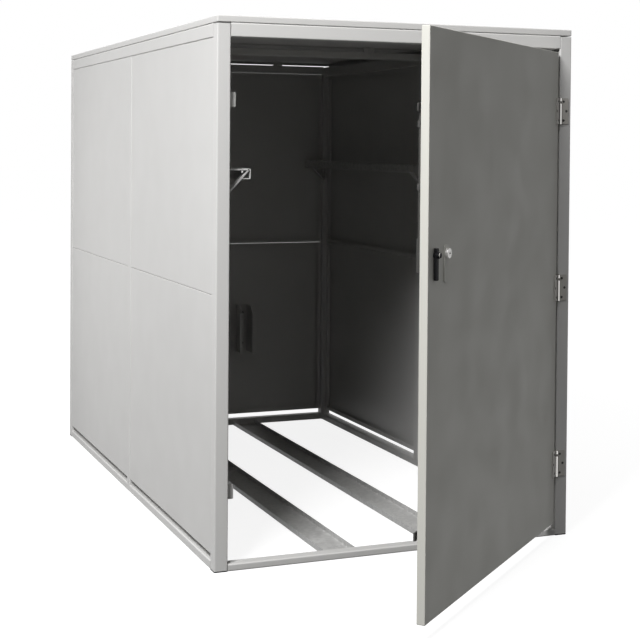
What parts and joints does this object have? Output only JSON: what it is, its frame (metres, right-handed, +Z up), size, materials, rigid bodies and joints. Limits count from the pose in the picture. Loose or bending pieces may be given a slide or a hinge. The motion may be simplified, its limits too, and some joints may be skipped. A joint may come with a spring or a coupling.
{
  "type": "bicycle locker",
  "caption": "Box-shaped steel bicycle locker with sheet walls, a flat roof, wheel channels on the floor and a full-height hinged door latched by rods.",
  "frame": {"origin": "middle of the front sill's underside, on the ground", "axes": "+X to the right along the front, +Y into the locker towards its rear wall, +Z up"},
  "size_m": [1.14, 2.6925, 1.56],
  "materials": {
    "frame_paint": "satin powder coat, light grey",
    "panel_paint": "satin powder coat, light grey",
    "door_paint": "satin powder coat, light grey",
    "galvanised": "zinc coated, dull",
    "hinge_steel": "coated steel, satin",
    "bright_steel": "bright, lightly brushed",
    "black_plastic": "black, matte",
    "foot_plastic": "black, matte"
  },
  "bodies": {
    "frame": {"post_front_left": "frame_paint", "post_front_right": "frame_paint", "post_mid_left": "frame_paint", "post_mid_right": "frame_paint", "post_rear_left": "frame_paint", "post_rear_right": "frame_paint", "foot_cap_front_left": "foot_plastic", "foot_cap_front_right": "foot_plastic", "foot_cap_rear_left": "foot_plastic", "foot_cap_rear_right": "foot_plastic", "sill_front": "frame_paint", "lintel_front": "frame_paint", "base_rail_rear": "frame_paint", "top_rail_rear": "frame_paint", "cross_rail_mid": "frame_paint", "top_rail_left": "frame_paint", "top_rail_right": "frame_paint", "base_rail_left": "frame_paint", "base_rail_right": "frame_paint", "panel_left_front_lower": "panel_paint", "panel_left_front_upper": "panel_paint", "panel_left_rear_lower": "panel_paint", "panel_left_rear_upper": "panel_paint", "panel_right_front_lower": "panel_paint", "panel_right_front_upper": "panel_paint", "panel_right_rear_lower": "panel_paint", "panel_right_rear_upper": "panel_paint", "panel_rear_lower": "panel_paint", "panel_rear_upper": "panel_paint", "roof_front": "panel_paint", "roof_rear": "panel_paint", "wheel_channel_left": "galvanised", "wheel_channel_right": "galvanised", "wheel_holder_left": "galvanised", "wheel_holder_right": "galvanised", "side_rail_left": "galvanised", "side_rail_right": "galvanised", "keeper_lower": "frame_paint", "keeper_upper": "frame_paint", "hinge_post_leaf_lower": "hinge_steel", "hinge_post_leaf_middle": "hinge_steel", "hinge_post_leaf_upper": "hinge_steel", "hinge_pin_lower": "bright_steel", "hinge_pin_middle": "bright_steel", "hinge_pin_upper": "bright_steel"},
    "door": {"door_leaf": "door_paint", "door_frame": "door_paint", "hinge_door_leaf_lower": "hinge_steel", "hinge_door_leaf_middle": "hinge_steel", "hinge_door_leaf_upper": "hinge_steel", "gear_case": "galvanised", "lock_plate": "door_paint", "cylinder_body": "bright_steel"},
    "handle": {"handle_lever": "black_plastic", "pinion": "bright_steel"},
    "rod_upper": {"rod_upper": "bright_steel"},
    "rod_lower": {"rod_lower": "bright_steel", "rack_lower": "bright_steel"},
    "key": {"cylinder_plug": "bright_steel", "lock_cam": "bright_steel"}
  },
  "joints": [
    {"name": "door_hinge", "type": "hinge", "parent": "frame", "child": "door", "pos_m": [0.53, -0.0253, 0.767], "axis": [0, 0, 1], "range_deg": [-41.75, 68.25]},
    {"name": "handle_turn", "type": "hinge", "parent": "door", "child": "handle", "pos_m": [-0.22928, -0.69588, 0.935], "axis": [-0.6659, 0.7461, 0], "range_deg": [0, 90]},
    {"name": "key_turn", "type": "hinge", "parent": "door", "child": "key", "pos_m": [-0.17258, -0.64528, 0.935], "axis": [0.6659, -0.7461, 0], "range_deg": [0, 90]},
    {"name": "rod_upper_slide", "type": "slide", "parent": "door", "child": "rod_upper", "axis": [0, 0, 1], "range_m": [0, 0.01885]},
    {"name": "rod_lower_slide", "type": "slide", "parent": "door", "child": "rod_lower", "axis": [0, 0, -1], "range_m": [0, 0.01886]}
  ],
  "couplings": [
    {"joint": "handle_turn", "follows": "rod_upper_slide", "rad_per_m": 83.333},
    {"joint": "rod_lower_slide", "follows": "rod_upper_slide", "ratio": 1}
  ]
}
